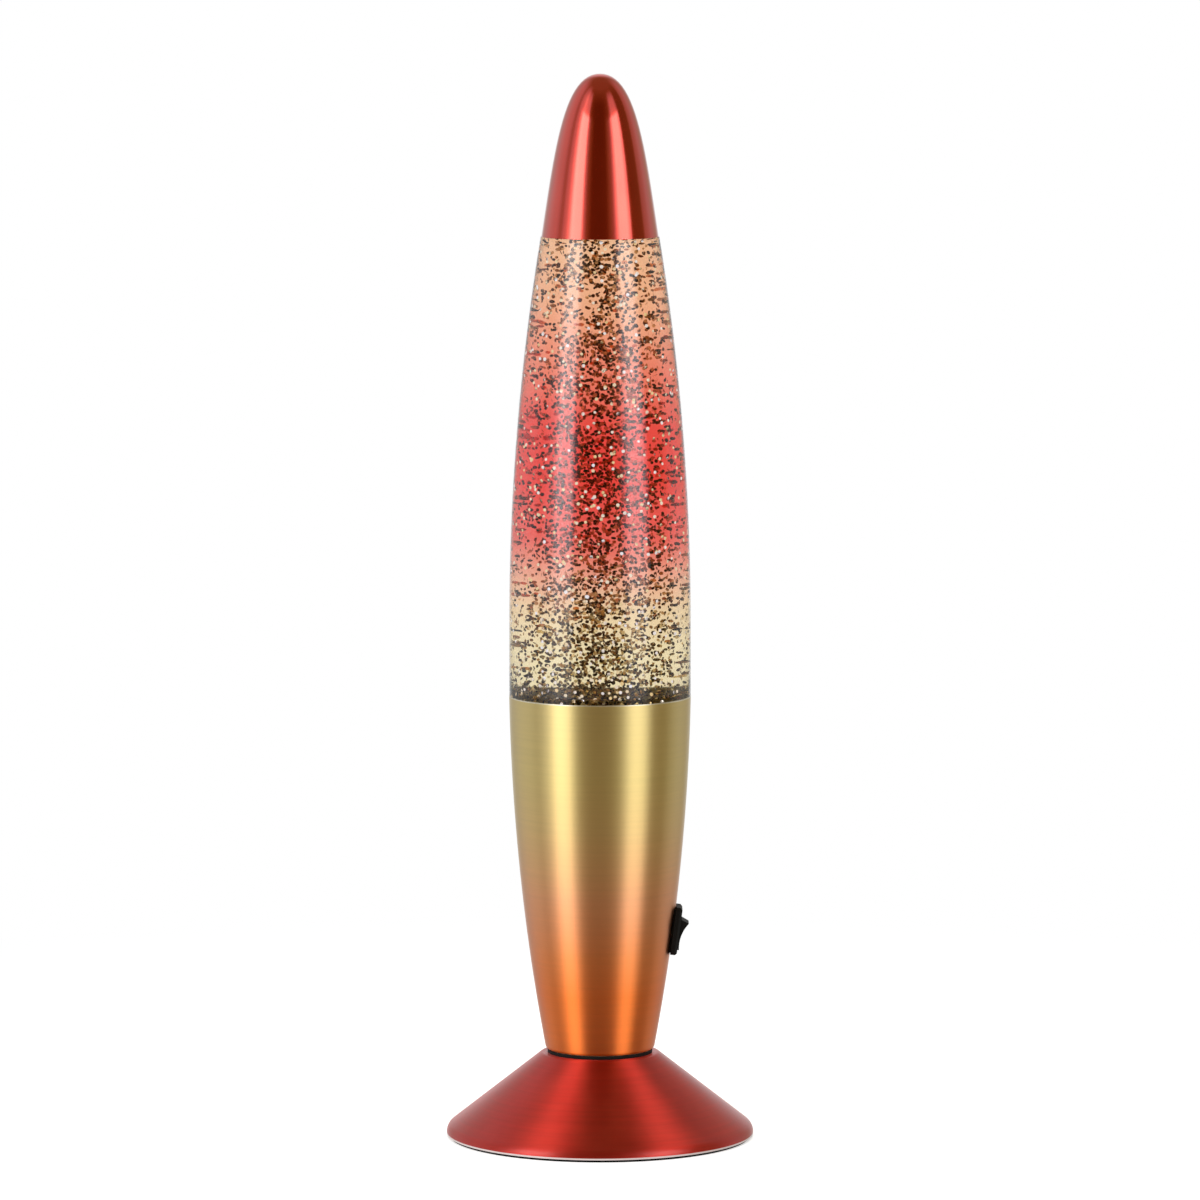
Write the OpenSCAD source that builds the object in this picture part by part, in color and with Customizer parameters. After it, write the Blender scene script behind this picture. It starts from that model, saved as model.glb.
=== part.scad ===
// Rocket-shaped glitter lamp: a sealed glass bottle of dyed liquid and glitter stands in a tapered
// metal sleeve over a reflector bulb. Millimetres, +Z up, origin on the floor under the lamp's axis.
// The rocker switch faces +X and the cord outlet faces +Y.

/* [Foot] */
// Diameter of the foot over its lip
foot_d = 95.5; // [86:0.5:110]
// Height of the foot's metal shell
foot_h = 25.6; // [23:0.2:34]
// Diameter of the flat top that carries the sleeve, measured to the corner of the cone
foot_top_d = 36.4; // [35:0.2:44]
// Height of the upright lip round the bottom of the cone, measured to the corner
foot_lip_h = 2.3; // [2.2:0.1:4]
// Radius of the soft bend between the lip and the cone
foot_lip_bend_r = 3.4; // [2:0.1:4]
// Radius of the bend at the top of the cone
foot_bend_r = 1.6; // [1.2:0.1:2]
// Sheet thickness of the foot
foot_wall = 0.8; // [0.6:0.1:1]
// Thickness of the foam pad that the lamp stands on
pad_t = 0.8; // [0.5:0.1:2]
// Width of the ring of foam
pad_w = 9; // [5:0.5:16]
// Thickness of the plate that closes the foot
plate_t = 1.4; // [1:0.1:1.5]

/* [Cord outlet] */
// Height of the outlet's middle on the outside of the cone
grommet_z = 12; // [11:0.5:14]
// Bore of the grommet, for a round two-core flex
grommet_bore_d = 6.4; // [5:0.1:7]
// Thickness of the rubber between the bore and the hole in the foot
grommet_wall = 1.3; // [1:0.1:1.6]
// Width of each flange beyond the hole in the foot
grommet_flange_w = 1.5; // [1:0.1:2]
// Thickness of each flange
grommet_flange_t = 1.5; // [1:0.1:2]

/* [Sleeve] */
// Height of the sleeve from its floor's underside to its rim
sleeve_h = 110.6; // [100:0.2:125]
// Diameter of the widest part of the lamp
belly_d = 56.5; // [54:0.5:62]
// Diameter of the sleeve's bottom edge
sleeve_bottom_d = 33.6; // [32.4:0.2:35]
// Height above the rim at which the sleeve's curve would stand upright
sleeve_crown = 12; // [8:1:20]
// Sheet thickness of the sleeve
sleeve_wall = 0.8; // [0.6:0.1:1]
// Radius of the sleeve's bottom bend
sleeve_bend_r = 1.4; // [1.2:0.1:2]
// Thickness of the black gasket between the foot and the sleeve
gasket_t = 1; // [0.6:0.1:2]
// How far the gasket stands back from the sleeve's bottom edge
gasket_setback = 0.5; // [0.3:0.1:1.5]

/* [Bottle] */
// Diameter of the bottle above the sleeve
bottle_d = 56.2; // [53.6:0.2:61.6]
// Height of glass that shows between the sleeve and the cap
bottle_show_h = 142; // [130:1:160]
// Height of the straight belly above the sleeve's rim
bottle_belly_h = 22; // [12:1:30]
// Air between the bulb and the bottle's bottom, which sets how deep the bottle stands in the sleeve
bulb_air = 6; // [4:0.5:14]
// Glass thickness
glass_wall = 2.4; // [1.8:0.1:3]
// Thickness of the bottle's bottom
glass_base_t = 4.5; // [3.5:0.5:6]
// Radius of the heel round the bottom
heel_r = 4; // [3:0.5:6]
// Depth of the hollow under the bottom
punt_h = 1.2; // [0.6:0.2:2]
// Thickness of the glass at the top of the shoulder, inside the cap
shoulder_t = 1.6; // [1.2:0.1:2.4]
// Height of the spigot that centres the cap
spigot_h = 2.5; // [1.5:0.5:4]
// Outer diameter of the neck
neck_d = 21.6; // [20:0.2:22]
// Bore of the neck
neck_bore_d = 15; // [12:0.5:17]
// Height of the neck above the shoulder
neck_h = 19; // [16:0.5:20]
// Height of the air space under the neck's top
ullage_h = 9; // [6:0.5:14]

/* [Glitter] */
// Flakes of glitter drawn in the liquid
flake_count = 160; // [40:10:240]
// Size of a flake across its corners
flake_d = 1.6; // [0.8:0.1:2]
// Thickness of a flake
flake_t = 0.2; // [0.1:0.05:0.3]

/* [Closure] */
// Wall of the screw closure
closure_wall = 1.5; // [1.2:0.1:1.8]
// Height of the screw closure
closure_h = 15; // [12:0.5:15.5]
// Grip ribs round the closure
closure_ribs = 48; // [24:4:72]
// Height of a grip rib
rib_h = 0.35; // [0.2:0.05:0.5]
// Thickness of the sealing liner
liner_t = 1; // [0.6:0.1:1.5]

/* [Top cap] */
// Height of the nose cap
cap_h = 50; // [46:0.5:60]
// Diameter of the cap's rim
cap_rim_d = 36.1; // [35.4:0.1:38]
// Height at which the flank starts to bend into the nose
cap_flank_h = 28; // [25:0.5:32]
// How far the flank leans in over that height
cap_flank_in = 4.2; // [3.5:0.1:4.8]
// Half width of the blunt nose
cap_nose_w = 11; // [10:0.1:13]
// Sheet thickness of the cap
cap_wall = 0.8; // [0.6:0.1:1]
// Glass ledge that shows outside the cap's rim
shoulder_lip = 0.25; // [0.1:0.05:0.4]

/* [Fixing] */
// Outer diameter of the threaded tube
tube_d = 10; // [8:0.5:10]
// Wall of the threaded tube
tube_wall = 1; // [0.8:0.1:1.5]
// Width across the flats of the tube's nuts
nut_af = 14; // [13:0.5:15]
// Thickness of a nut
nut_t = 3; // [2.5:0.1:4]
// Diameter of a washer
washer_d = 18; // [16:0.5:19]
// Thickness of a washer
washer_t = 0.8; // [0.6:0.1:1.2]
// Length of tube below the lower nut
tube_tail = 3; // [1:0.5:5]
// Length of tube screwed into the lampholder
tube_grip = 4; // [3:0.1:4.5]

/* [Lampholder] */
// Diameter of the holder
holder_d = 25; // [23:0.5:26]
// Height of the holder
holder_h = 26; // [25:0.5:27]
// Diameter of the collar at the bottom of the holder
holder_collar_d = 16; // [14:0.5:17]
// Height of that collar
holder_collar_h = 5; // [4.5:0.1:5.5]
// Outer diameter of the bulb's screw cap
screw_d = 13.8; // [13:0.1:14.2]
// Thickness of the holder's brass screw shell
shell_wall = 0.5; // [0.4:0.05:0.8]

/* [Bulb] */
// Overall length of the reflector bulb
bulb_l = 66; // [60:0.5:72]
// Diameter of the reflector bulb
bulb_d = 39; // [35:0.5:41]
// Glass thickness of the bulb
bulb_wall = 0.8; // [0.6:0.1:1]
// Height of the bulb's metal screw cap
bulb_cap_h = 18; // [16:0.5:19]

/* [Switch] */
// Height of the switch's middle above the sleeve's bottom edge
switch_h = 37.4; // [36:0.2:40]
// Length of the bezel, along the sleeve
bezel_l = 15; // [14.8:0.1:16]
// Width of the bezel
bezel_w = 10.5; // [10.3:0.1:11.5]
// Thickness of the bezel
bezel_t = 2; // [1.8:0.1:2.2]
// Depth of the switch behind the sleeve's surface
switch_depth = 9; // [8.8:0.1:9.5]
// Width of the rocker
rocker_w = 7.4; // [7:0.1:7.4]
// Tilt of the rocker either side of its middle
rocker_tilt = 13; // [10:0.5:13.5]
// Diameter of the rocker's pivot pins
pivot_d = 2; // [1.6:0.1:2.2]

/* [Hidden] */

// Clearances
run_gap = 0.05;   // between a turning pin or a threaded piece and its bore
slip_gap = 0.1;   // round a piece that is pushed into a cut-out
lift_gap = 0.35;  // round a piece that lifts out by hand

// Smoothness of round surfaces and of the curved profiles
$fn = 96;
profile_steps = 24;
bend_steps = 6;

// Heights of the stack, from the floor up
foot_z = pad_t;
foot_top_z = foot_z + foot_h;
sleeve_z = foot_top_z + gasket_t;
rim_z = sleeve_z + sleeve_h;
shoulder_z = rim_z + bottle_show_h;
nose_z = shoulder_z + cap_h;
neck_top_z = shoulder_z + neck_h;

// Curves of the sleeve and of the bottle: arcs that stand upright at the belly
belly_r = belly_d / 2;
bottle_r = bottle_d / 2;
sleeve_crown_z = rim_z + sleeve_crown;
sleeve_curve_r = arc_radius(sleeve_crown_z - sleeve_z, belly_r - sleeve_bottom_d / 2);
shoulder_r = cap_rim_d / 2 + shoulder_lip;
bottle_belly_z = rim_z + bottle_belly_h;
bottle_curve_r = arc_radius(shoulder_z - bottle_belly_z, bottle_r - shoulder_r);
neck_bore_r = neck_bore_d / 2;

// Radius of the arc that moves in by drop over a rise, starting upright
function arc_radius(rise, drop) = (rise * rise + drop * drop) / (2 * drop);
// How far such an arc has moved in at a distance from its upright end
function arc_in(radius, away) = away <= 0 ? 0 : radius - sqrt(radius * radius - away * away);
// Outer radius of the sleeve, of the bottle above the rim, and of the bottle inside the sleeve
function sleeve_r(z) = belly_r - arc_in(sleeve_curve_r, sleeve_crown_z - z);
function glass_r(z) = bottle_r - arc_in(bottle_curve_r, z - bottle_belly_z);
function nested_r(z) = sleeve_r(z) - sleeve_wall - lift_gap;

// Points along a curve, and plain vector helpers
function steps(a, b, n = profile_steps) = [for (i = [0 : n]) a + (b - a) * i / n];
function bezier(p, n = profile_steps) = [for (t = steps(0, 1, n))
    pow(1 - t, 3) * p[0] + 3 * pow(1 - t, 2) * t * p[1] + 3 * (1 - t) * t * t * p[2] + pow(t, 3) * p[3]];
function arc(centre, r, a, b, n = bend_steps) = [for (t = steps(a, b, n)) centre + r * [cos(t), sin(t)]];
function reversed(list) = [for (i = [len(list) - 1 : -1 : 0]) list[i]];
function unit(v) = v / norm(v);
function left_of(v) = [-v.y, v.x];

// A corner rounded to a radius, as points of an arc that touches both of its edges
function rounded(before, corner, after, r) = let(
        u = unit(before - corner), v = unit(after - corner),
        half = acos(u * v) / 2,
        centre = corner + unit(u + v) * r / sin(half),
        from = corner + u * r / tan(half) - centre,
        turn = (180 - 2 * half) * sign(cross(-u, v)))
    [for (t = steps(0, turn, bend_steps)) centre
        + [from.x * cos(t) - from.y * sin(t), from.x * sin(t) + from.y * cos(t)]];
// A line of points with some corners rounded: radii[i] belongs to points[i], and 0 keeps the corner
function bent(points, radii) = [for (i = [0 : len(points) - 1])
    each (radii[i] > 0 ? rounded(points[i - 1], points[i], points[i + 1], radii[i]) : [points[i]])];
// The same line moved sideways to its left by w, with mitred corners
function moved_left(points, w) = [for (i = [0 : len(points) - 1]) let(
        a = left_of(unit(points[max(i, 1)] - points[max(i, 1) - 1])),
        b = left_of(unit(points[min(i, len(points) - 2) + 1] - points[min(i, len(points) - 2)])))
    points[i] + (a + b) * w / (1 + a * b)];
// Outline of a bent sheet: bends on the outside have radius r, and r - w on the inside
function sheet(points, bends, w) = concat(
    bent(points, bends),
    reversed(bent(moved_left(points, w), [for (r = bends) max(r - w, 0)])));

// A round tube along a line of points, as rings of triangles
function along(path, i) = unit(path[min(i + 1, len(path) - 1)] - path[max(i - 1, 0)]);
function ring(centre, dir, r, sides) = let(
        side = unit(cross(dir, abs(dir.z) < 0.9 ? [0, 0, 1] : [1, 0, 0])),
        up = cross(side, dir))
    [for (k = [0 : sides - 1]) centre + r * (cos(360 * k / sides) * side + sin(360 * k / sides) * up)];
module swept_tube(path, d, sides = 8) {
    rings = len(path);
    points = [for (i = [0 : rings - 1]) each ring(path[i], along(path, i), d / 2, sides)];
    walls = [for (i = [0 : rings - 2], k = [0 : sides - 1]) let(
            a = i * sides + k, b = i * sides + (k + 1) % sides)
        each [[a, b, b + sides], [a, b + sides, a + sides]]];
    caps = [for (k = [1 : sides - 2]) each [
        [0, k + 1, k],
        [(rings - 1) * sides, (rings - 1) * sides + k, (rings - 1) * sides + k + 1]]];
    polyhedron(points, concat(walls, caps));
}

module turned(outline) {
    rotate_extrude() polygon(outline);
}
module rounded_plate(size, r, t) {
    linear_extrude(t) {
        square([size.x - 2 * r, size.y], center = true);
        square([size.x, size.y - 2 * r], center = true);
        for (x = [-1, 1], y = [-1, 1])
            translate([x * (size.x / 2 - r), y * (size.y / 2 - r)]) circle(r);
    }
}

// Foot: the line of its outer face, from the lip up the cone to the tube's hole
tube_hole_r = tube_d / 2 + slip_gap;
foot_r = foot_d / 2;
foot_corner_z = foot_z + foot_lip_h;
foot_line = [
    [foot_r, foot_z], [foot_r, foot_corner_z], [foot_top_d / 2, foot_top_z], [tube_hole_r, foot_top_z]
];
cone_run = foot_r - foot_top_d / 2;
cone_rise = foot_top_z - foot_corner_z;
cone_turn = atan2(cone_run, cone_rise);
lip_straight_h = foot_lip_h - foot_lip_bend_r * tan(cone_turn / 2);
plate_r = foot_r - foot_wall - slip_gap - arc_in(foot_lip_bend_r - foot_wall, plate_t - lip_straight_h);

// Cord outlet, square to the back of the cone
outlet_r = foot_r - cone_run * (grommet_z - foot_corner_z) / cone_rise;
outlet_hole_r = grommet_bore_d / 2 + grommet_wall;
flange_r = outlet_hole_r + grommet_flange_w;
flange_edge = 0.4;
cone_bend_r = (outlet_r - flange_r) / cos(cone_turn);
cone_sag = arc_in(cone_bend_r, flange_r) + run_gap;

module at_outlet() {
    translate([0, outlet_r, grommet_z]) rotate([cone_turn - 90, 0, 0]) children();
}

module foot() {
    color([0.72, 0.16, 0.13]) difference() {
        turned(sheet(foot_line, [0, foot_lip_bend_r, foot_bend_r, 0], foot_wall));
        at_outlet() cylinder(h = 4 * foot_wall, r = outlet_hole_r, center = true);
    }
}

module foot_pad() {
    color([0.08, 0.08, 0.09]) difference() {
        cylinder(h = pad_t, r = plate_r);
        translate([0, 0, -pad_t]) cylinder(h = 3 * pad_t, r = plate_r - pad_w);
    }
}

module base_plate() {
    color([0.12, 0.12, 0.12]) translate([0, 0, foot_z]) cylinder(h = plate_t, r = plate_r);
}

module cord_grommet() {
    bore = grommet_bore_d / 2;
    waist = outlet_hole_r - slip_gap;
    inside = -foot_wall - cone_sag;
    color([0.1, 0.1, 0.1]) at_outlet() turned([
        [bore, inside - grommet_flange_t],
        [flange_r - flange_edge, inside - grommet_flange_t],
        [flange_r, inside - grommet_flange_t + flange_edge],
        [flange_r, inside],
        [waist, inside],
        [waist, run_gap],
        [flange_r, run_gap],
        [flange_r, run_gap + grommet_flange_t - flange_edge],
        [flange_r - flange_edge, run_gap + grommet_flange_t],
        [bore, run_gap + grommet_flange_t]
    ]);
}

module collar_gasket() {
    color([0.1, 0.1, 0.1]) translate([0, 0, foot_top_z]) difference() {
        cylinder(h = gasket_t, r = sleeve_bottom_d / 2 - gasket_setback);
        translate([0, 0, -gasket_t]) cylinder(h = 3 * gasket_t, r = tube_hole_r);
    }
}

// Sleeve: the line of its outer face, or of its inner face at depth w
function sleeve_line(w) = concat(
    [[tube_hole_r, sleeve_z + w]],
    [for (z = steps(sleeve_z + w, rim_z)) [sleeve_r(z) - w, z]]);
function second_bent(line, r) = bent(line, [for (i = [0 : len(line) - 1]) i == 1 ? r : 0]);

// Switch frame: x round the sleeve, y up its wall, z out of it, with z = 0 on the wall
switch_z = sleeve_z + switch_h;
switch_lean = asin((sleeve_crown_z - switch_z) / sleeve_curve_r);
switch_at = [sleeve_r(switch_z), 0, switch_z];
wall_out = [cos(switch_lean), 0, -sin(switch_lean)];
wall_up = [sin(switch_lean), 0, cos(switch_lean)];
box_w = bezel_w - 1.5;
box_l = bezel_l - 1.6;

module at_switch() {
    translate(switch_at) rotate([0, switch_lean, 0]) rotate([90, 0, 90]) children();
}
// A section drawn in the switch frame's y and z, extruded evenly to both sides
module across_switch(w) {
    rotate([90, 0, 90]) linear_extrude(w, center = true) children();
}

module sleeve() {
    inner_bend_r = max(sleeve_bend_r - sleeve_wall, 0.2);
    color([0.74, 0.62, 0.3]) difference() {
        turned(concat(
            second_bent(sleeve_line(0), sleeve_bend_r),
            reversed(second_bent(sleeve_line(sleeve_wall), inner_bend_r))));
        at_switch() cube([box_w + 2 * slip_gap, box_l + 2 * slip_gap, 8 * sleeve_wall], center = true);
    }
}

// Fixing: nuts and washers clamp the foot's top, the gasket and the sleeve's floor
lower_washer_z = foot_top_z - foot_wall - washer_t;
lower_nut_z = lower_washer_z - nut_t;
upper_washer_z = sleeve_z + sleeve_wall;
upper_nut_z = upper_washer_z + washer_t;
holder_z = upper_nut_z + nut_t;
tube_z = lower_nut_z - tube_tail;
tube_l = holder_z + tube_grip - tube_z;

module threaded_tube() {
    color([0.7, 0.7, 0.72]) translate([0, 0, tube_z]) difference() {
        cylinder(h = tube_l, d = tube_d);
        translate([0, 0, -tube_l]) cylinder(h = 3 * tube_l, r = tube_d / 2 - tube_wall);
    }
}

module tube_nuts() {
    color([0.75, 0.75, 0.76]) for (z = [lower_nut_z, upper_nut_z]) translate([0, 0, z]) difference() {
        cylinder(h = nut_t, r = nut_af / 2 / cos(30), $fn = 6);
        translate([0, 0, -nut_t]) cylinder(h = 3 * nut_t, r = tube_d / 2 + run_gap);
    }
}

module tube_washers() {
    color([0.68, 0.68, 0.7]) for (z = [lower_washer_z, upper_washer_z]) translate([0, 0, z]) difference() {
        cylinder(h = washer_t, d = washer_d);
        translate([0, 0, -washer_t]) cylinder(h = 3 * washer_t, r = tube_hole_r);
    }
}

// Lampholder: a collar screwed on the tube, a body over it and a brass shell round the bulb's cap
holder_r = holder_d / 2;
holder_body_z = holder_z + holder_collar_h;
holder_web = 1.5;
holder_floor_z = holder_body_z + holder_web;
holder_top_z = holder_z + holder_h;
holder_edge = 1;
shell_in_r = screw_d / 2 + 0.3;
shell_out_r = shell_in_r + shell_wall;
socket_r = shell_out_r + slip_gap;
shell_foot = 2;
contact_t = 0.5;
contact_rise = 0.9;
terminal_block = [holder_r - holder_collar_d / 2 - 2 * lift_gap, 5, 3.5];

module lampholder_body() {
    color([0.16, 0.15, 0.14]) turned([
        [tube_d / 2 + run_gap, holder_z],
        [holder_collar_d / 2, holder_z],
        [holder_collar_d / 2, holder_body_z],
        [holder_r, holder_body_z],
        [holder_r, holder_top_z - holder_edge],
        [holder_r - holder_edge, holder_top_z],
        [socket_r, holder_top_z],
        [socket_r, holder_floor_z],
        [0, holder_floor_z],
        [0, holder_z + tube_grip],
        [tube_d / 2 + run_gap, holder_z + tube_grip]
    ]);
}

module lampholder_shell() {
    shell_z = holder_floor_z + shell_foot;
    shell_l = holder_top_z - holder_edge - shell_z;
    color([0.8, 0.65, 0.3]) translate([0, 0, shell_z]) difference() {
        cylinder(h = shell_l, r = shell_out_r);
        translate([0, 0, -shell_l]) cylinder(h = 3 * shell_l, r = shell_in_r);
    }
}

// A sprung strip: two feet on the holder's floor and a raised middle under the bulb's contact
module lampholder_contact() {
    foot_x = socket_r - 3.3;
    knee_x = foot_x - 2;
    pad_x = 1.2;
    top = contact_rise + contact_t;
    upper = [[foot_x, contact_t], [knee_x, contact_t], [pad_x, top]];
    lower = [[pad_x - 0.2, contact_rise], [knee_x - 0.2, 0], [foot_x, 0]];
    half = concat(lower, upper);
    mirrored = [for (p = reversed(half)) [-p.x, p.y]];
    color([0.78, 0.6, 0.32]) translate([0, 0, holder_floor_z]) rotate([90, 0, 0])
        linear_extrude(4, center = true) polygon(concat(half, mirrored));
}

module lampholder_terminals() {
    color([0.8, 0.66, 0.32]) for (side = [0, 180]) rotate([0, 0, side])
        translate([holder_collar_d / 2 + lift_gap, -terminal_block.y / 2, holder_body_z - terminal_block.z])
            cube(terminal_block);
}

// Switch: the rocker and its pins turn about a pivot under the bezel, and tip the blade below it
pivot_z = bezel_t - 5.2;
rocker_half = bezel_l / 2 - 3.1;
rocker_top = 6.9;
rocker_sag = 0.9;
rocker_waist = [rocker_half + 0.4, 4.6];
rocker_hip = [rocker_half - 0.8, 1.6];
rocker_root_r = 2;
rocker_swing_r = norm([rocker_half, rocker_top]);
rocker_reach = rocker_swing_r * sin(atan2(rocker_half, rocker_top) + rocker_tilt);
rocker_gap = 0.2;
well_w = rocker_w + 2 * rocker_gap;
well_l = 2 * (rocker_reach + rocker_gap);
switch_floor = 1;
floor_z = -switch_depth + switch_floor;
pin_reach = 0.45;
bezel_corner_r = 1.2;
bezel_bevel = 0.7;
latch = [0.5, 6, 2];
latch_z = -1.5;

plunger_r = 0.8;
plunger_tip = 2.15;   // from the pivot to the centre of the round tip
plunger_head = 1;     // from the pivot to the plunger's inner end
spring_wire = 0.2;
spring_r = 0.6;
spring_turns = 3;
spring_top = 1.25;

blade_sink = 3.45;    // from the rocker's pivot to the blade's own
blade_tilt = 7;
blade = [1.9, 9.2, 0.4];
bead_r = 0.15;        // bead across the blade that rocks in the middle terminal's groove
rivet_r = 0.8;
rivet_h = 0.3;
rivet_y = -4;
blade_z = pivot_z - blade_sink;
tab = [2.8, 0.5, 3];
ear = [0.4, 0.5];

// Outline of a bezel edge in one direction: square at the back, bevelled at the front
function bevelled(w) = [
    [-w / 2, 0], [w / 2, 0], [w / 2, bezel_t - bezel_bevel],
    [w / 2 - bezel_bevel, bezel_t], [bezel_bevel - w / 2, bezel_t], [-w / 2, bezel_t - bezel_bevel]
];

module bezel() {
    intersection() {
        rounded_plate([bezel_w, bezel_l], bezel_corner_r, bezel_t);
        across_switch(2 * bezel_w) polygon(bevelled(bezel_l));
        rotate([90, 0, 0]) linear_extrude(2 * bezel_l, center = true) polygon(bevelled(bezel_w));
    }
}

module switch_housing() {
    slot = [tab.x + 2 * slip_gap, tab.y + 2 * slip_gap, 4 * switch_floor];
    color([0.07, 0.07, 0.08]) at_switch() difference() {
        union() {
            bezel();
            translate([-box_w / 2, -box_l / 2, -switch_depth]) cube([box_w, box_l, switch_depth]);
            for (side = [0, 180]) rotate([0, 0, side]) translate([box_w / 2, 0, latch_z])
                rotate([90, 0, 0]) linear_extrude(latch.y, center = true)
                    polygon([[0, 0], [latch.x, 0], [0, -latch.z]]);
        }
        translate([-well_w / 2, -well_l / 2, floor_z]) cube([well_w, well_l, switch_depth + 2 * bezel_t]);
        translate([0, 0, pivot_z]) rotate([0, 90, 0])
            cylinder(h = 2 * box_w, r = pivot_d / 2 + run_gap, center = true);
        for (y = [0, rivet_y]) translate([0, y, -switch_depth]) cube(slot, center = true);
    }
}

// The middle terminal carries the blade between two ears, and the lower one has the fixed contact
module switch_terminals() {
    contact_top = blade_z - abs(rivet_y) * tan(blade_tilt) - rivet_h / cos(blade_tilt) - run_gap;
    color([0.8, 0.66, 0.36]) at_switch() {
        difference() {
            translate([-tab.x / 2, -tab.y / 2, -switch_depth - tab.z])
                cube([tab.x, tab.y, switch_depth + tab.z + blade_z - run_gap]);
            translate([0, 0, blade_z]) rotate([0, 90, 0])
                cylinder(h = 2 * tab.x, r = bead_r + run_gap, center = true);
        }
        for (side = [-1, 1]) translate([side * (tab.x - ear.x) / 2, 0, blade_z])
            cube([ear.x, ear.y, 2 * ear.y], center = true);
        translate([-tab.x / 2, rivet_y - tab.y / 2, -switch_depth - tab.z])
            cube([tab.x, tab.y, contact_top + switch_depth + tab.z]);
        translate([-tab.x / 2, rivet_y - rivet_r, floor_z])
            cube([tab.x, 2 * rivet_r, contact_top - floor_z]);
    }
}

// Rocker frame: the switch frame moved to the pivot and tilted, upper end out
module at_rocker() {
    at_switch() translate([0, 0, pivot_z]) rotate([rocker_tilt, 0, 0]) children();
}

module switch_rocker() {
    dish_r = arc_radius(rocker_half, rocker_sag);
    dish_turn = asin(rocker_half / dish_r);
    dish_centre = [0, rocker_top - rocker_sag + dish_r];
    dish = arc(dish_centre, dish_r, dish_turn - 90, -dish_turn - 90, 2 * bend_steps);
    root = arc([0, 0], rocker_root_r, 180, 360, 2 * bend_steps);
    color([0.09, 0.09, 0.1]) at_rocker() difference() {
        union() {
            across_switch(rocker_w) polygon(concat(
                dish,
                [[-rocker_waist.x, rocker_waist.y], [-rocker_hip.x, rocker_hip.y]],
                root,
                [rocker_hip, rocker_waist]));
            rotate([0, 90, 0]) cylinder(h = well_w + 2 * pin_reach, d = pivot_d, center = true);
        }
        translate([0, 0, -2 * rocker_root_r])
            cylinder(h = 2 * rocker_root_r + spring_top, r = plunger_r + run_gap);
    }
}

module rocker_plunger() {
    color([0.85, 0.85, 0.82]) at_rocker() {
        translate([0, 0, -plunger_tip]) cylinder(h = plunger_tip - plunger_head, r = plunger_r);
        translate([0, 0, -plunger_tip]) sphere(plunger_r);
    }
}

// The coil between the plunger and the end of its bore
spring_rings = 8;
spring_length = plunger_head + spring_top - spring_wire - 2 * run_gap;
spring_path = [for (i = [0 : spring_turns * spring_rings]) let(a = 360 * i / spring_rings) [
    spring_r * cos(a), spring_r * sin(a),
    spring_wire / 2 + run_gap - plunger_head + spring_length * i / (spring_turns * spring_rings)]];
spring_gap = min([for (i = [0 : len(spring_path) - 1], j = [i + spring_rings / 2 : 1 : len(spring_path) - 1])
    norm(spring_path[i] - spring_path[j])]) - spring_wire;
echo("least gap between the turns of the plunger spring, mm:", spring_gap);

module plunger_spring() {
    color([0.75, 0.75, 0.78]) at_rocker() swept_tube(spring_path, spring_wire, 6);
}

// The blade tips against the rocker: its lower end is up while the rocker's lower end is pressed
module contact_blade() {
    color([0.82, 0.6, 0.35]) at_switch() translate([0, 0, blade_z]) rotate([-blade_tilt, 0, 0]) {
        translate([-blade.x / 2, -blade.y / 2, 0]) cube(blade);
        rotate([0, 90, 0]) cylinder(h = blade.x, r = bead_r, center = true);
        translate([0, rivet_y, -rivet_h]) cylinder(h = rivet_h + blade.z / 2, r = rivet_r);
    }
}

// Lead from the switch's lower terminal, round the side of the switch, down to the holder's terminal
lead_d = 2;
lead_start = switch_at + rivet_y * wall_up
    - (switch_depth + tab.z - lead_d / 2) * wall_out + [0, tab.x / 2, 0];
lead_end = [
    holder_collar_d / 2 + lift_gap + terminal_block.x / 2,
    terminal_block.y / 2,
    holder_body_z - terminal_block.z / 2
];
lead_from_switch = [[0, 0, 0], [0, 1.6, 0], [0.3, 3.6, -0.4], [1, 5.6, -2], [1.8, 6.6, -5]];
lead_to_holder = [
    [2.8, 5.6, 17], [2.8, 5.2, 11], [2.6, 4.8, 5], [2, 4.6, 1.8], [1.1, 3.9, 0.1], [0.2, 2.9, 0],
    [0, lead_d, 0], [0, 0, 0]
];
lead_path = concat(
    [for (p = lead_from_switch) lead_start + p],
    [for (p = lead_to_holder) lead_end + p]);

module switch_lead() {
    color([0.9, 0.9, 0.88]) swept_tube(lead_path, lead_d);
}

// Bulb: button, insulator, screw cap and a reflector-shaped glass
bulb_z = holder_floor_z + contact_rise + contact_t + slip_gap;
bulb_r = bulb_d / 2;
button_h = 1.2;
insulator_h = 2.2;
screw_wall = 0.3;
screw_z = bulb_z + button_h + insulator_h;
screw_top_z = screw_z + bulb_cap_h;
bulb_neck_r = screw_d / 2 - screw_wall - slip_gap;
bulb_neck_z = screw_z + 4;
bulb_wide_z = bulb_z + bulb_l - 12;
bulb_top_z = bulb_z + bulb_l;
stem_top_z = screw_top_z + 7;

// Outline of the bulb's glass at depth w: neck, reflector flare and domed front
function bulb_line(w) = concat(
    [[bulb_neck_r - w, bulb_neck_z]],
    bezier([
        [bulb_neck_r - w, screw_top_z + 1],
        [bulb_neck_r + 1 - w, screw_top_z + 9.5],
        [bulb_r - w, screw_top_z + 14.5],
        [bulb_r - w, bulb_wide_z]], profile_steps / 2),
    bezier([
        [bulb_r - w, bulb_wide_z + 0.1],
        [bulb_r - w, bulb_wide_z + 7],
        [bulb_r * 0.7, bulb_top_z - w],
        [0, bulb_top_z - w]], profile_steps / 2));

module bulb_envelope() {
    color([0.85, 0.86, 0.88]) turned(concat(bulb_line(0), reversed(bulb_line(bulb_wall))));
}

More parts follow.
